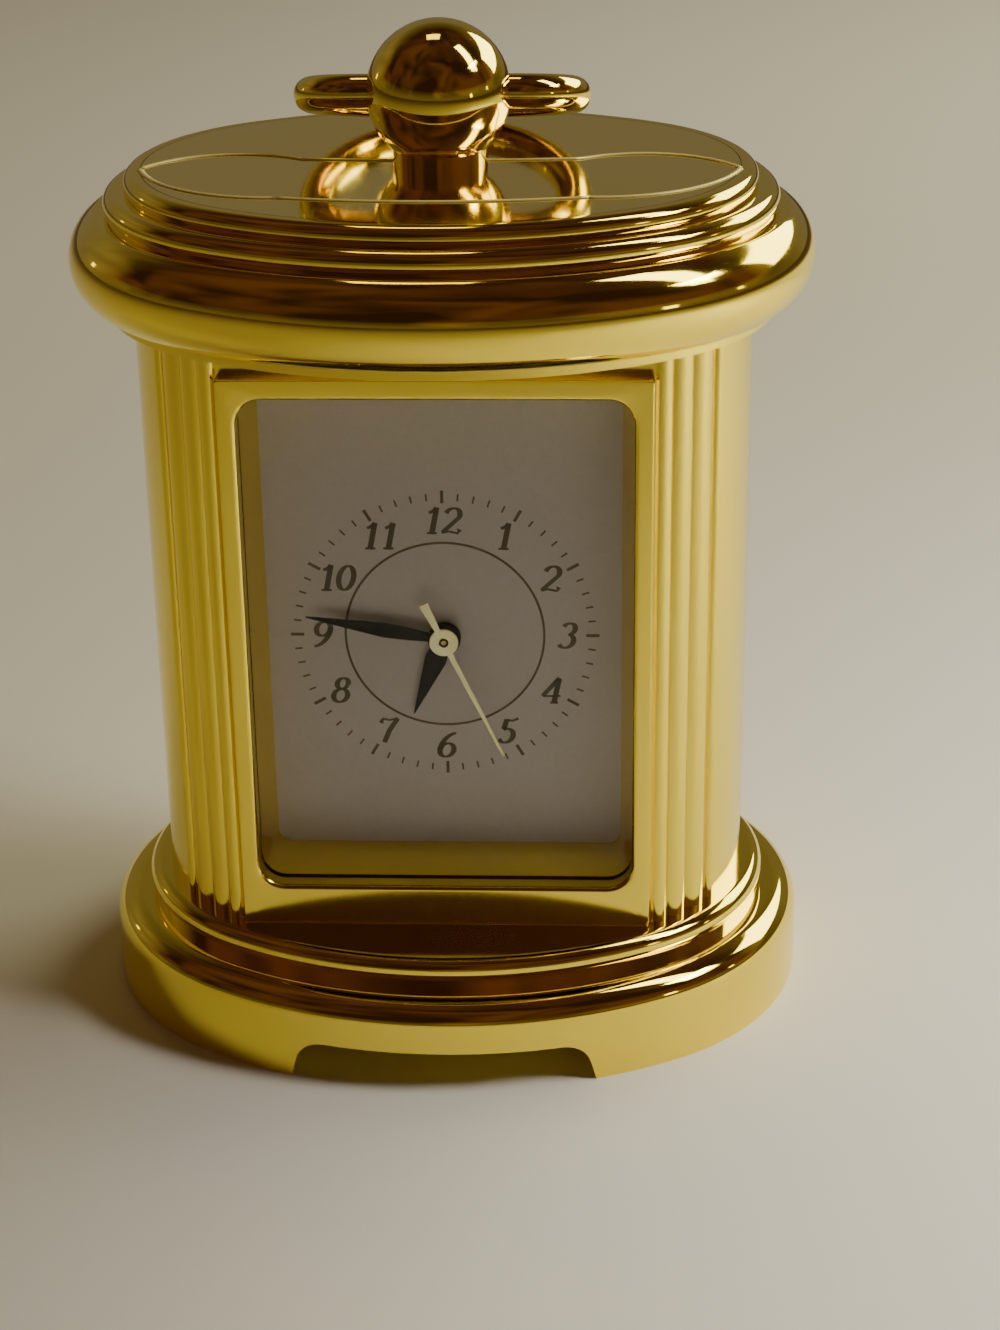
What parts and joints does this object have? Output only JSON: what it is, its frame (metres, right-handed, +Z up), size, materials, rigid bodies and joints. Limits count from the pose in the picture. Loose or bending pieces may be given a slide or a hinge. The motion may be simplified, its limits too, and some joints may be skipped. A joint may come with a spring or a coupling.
{
  "type": "pendulette clock",
  "caption": "Miniature gilt clock with an oval reeded case, stepped plinth, bullnose cap, windowed dial and a swinging bow handle on a ball finial.",
  "frame": {"origin": "middle of the feet's resting plane, on the axis of the oval case", "axes": "+Z up, -Y is the dial's side, +X to the right of someone who reads the dial"},
  "size_m": [0.0492, 0.0386, 0.068],
  "materials": {
    "gilt_polished": "mirror-polished gilding",
    "gilt_satin": "soft-polished gilding",
    "crystal_glass": "clear, flat",
    "dial_lacquer": "matt grey-beige lacquer",
    "hand_black": "satin black lacquer",
    "hand_pale": "satin cream lacquer",
    "movement_brass": "fine-turned brass",
    "movement_steel": "brushed steel",
    "screw_steel": "plated steel",
    "cell_steel": "nickel-plated steel",
    "holder_plastic": "moulded, matt",
    "coil_copper": "enamelled copper wire"
  },
  "bodies": {
    "clock": {"plinth": "gilt_satin", "base_moulding": "gilt_polished", "case_body": "gilt_satin", "front_panel": "gilt_satin", "crystal": "crystal_glass", "dial_frame": "gilt_polished", "dial": "dial_lacquer", "cap_moulding": "gilt_polished", "cornice": "gilt_polished", "top_plate": "gilt_polished", "finial": "gilt_polished", "finial_washer": "screw_steel", "finial_nut": "screw_steel", "tie_screws": "screw_steel", "movement_holder": "holder_plastic", "holder_screws": "screw_steel", "movement_clamps": "movement_steel", "clamp_screws": "screw_steel", "main_plate": "movement_brass", "train_bridge": "movement_brass", "bridge_screws": "screw_steel", "battery_contact": "movement_steel", "coil": "coil_copper", "coil_core": "movement_steel"},
    "bow": {"bow": "gilt_polished"},
    "second": {"second_hand": "hand_pale", "seconds_wheel": "movement_brass"},
    "minute": {"minute_hand": "hand_black", "cannon_pinion": "movement_brass"},
    "hour": {"hour_hand": "hand_black", "hour_wheel": "movement_brass"},
    "idler": {"minute_wheel": "movement_brass"},
    "lever": {"setting_lever": "movement_steel"},
    "crown": {"setting_stem": "movement_steel", "crown": "movement_brass"},
    "cover": {"back_cover": "gilt_satin"},
    "cell": {"battery_cell": "cell_steel"}
  },
  "joints": [
    {"name": "bow_swing", "type": "hinge", "parent": "clock", "child": "bow", "pos_m": [0, 0, 0.06335], "axis": [1, 0, 0], "range_deg": [0, 211]},
    {"name": "second_turn", "type": "hinge", "parent": "clock", "child": "second", "pos_m": [0, -0.0062, 0.0279], "axis": [0, 1, 0], "continuous": true},
    {"name": "minute_turn", "type": "hinge", "parent": "clock", "child": "minute", "pos_m": [0, -0.0062, 0.0279], "axis": [0, 1, 0], "continuous": true},
    {"name": "hour_turn", "type": "hinge", "parent": "clock", "child": "hour", "pos_m": [0, -0.0062, 0.0279], "axis": [0, 1, 0], "continuous": true},
    {"name": "idler_turn", "type": "hinge", "parent": "clock", "child": "idler", "pos_m": [0.00127, -0.0055, 0.03062], "axis": [0, 1, 0], "continuous": true},
    {"name": "crown_pull", "type": "slide", "parent": "clock", "child": "lever", "axis": [1, 0, 0], "range_m": [0, 0.0006]},
    {"name": "crown_turn", "type": "hinge", "parent": "lever", "child": "crown", "pos_m": [0.0104, -0.0041, 0.0279], "axis": [1, 0, 0], "continuous": true},
    {"name": "cover_lift", "type": "slide", "parent": "clock", "child": "cover", "axis": [0, 1, 0], "range_m": [0, 0.012]},
    {"name": "cell_lift", "type": "slide", "parent": "clock", "child": "cell", "axis": [0, 1, 0], "range_m": [0, 0.01]}
  ],
  "couplings": [
    {"joint": "minute_turn", "follows": "second_turn", "ratio": 0.016667},
    {"joint": "hour_turn", "follows": "second_turn", "ratio": 0.0013889},
    {"joint": "idler_turn", "follows": "second_turn", "ratio": -0.0055556}
  ]
}
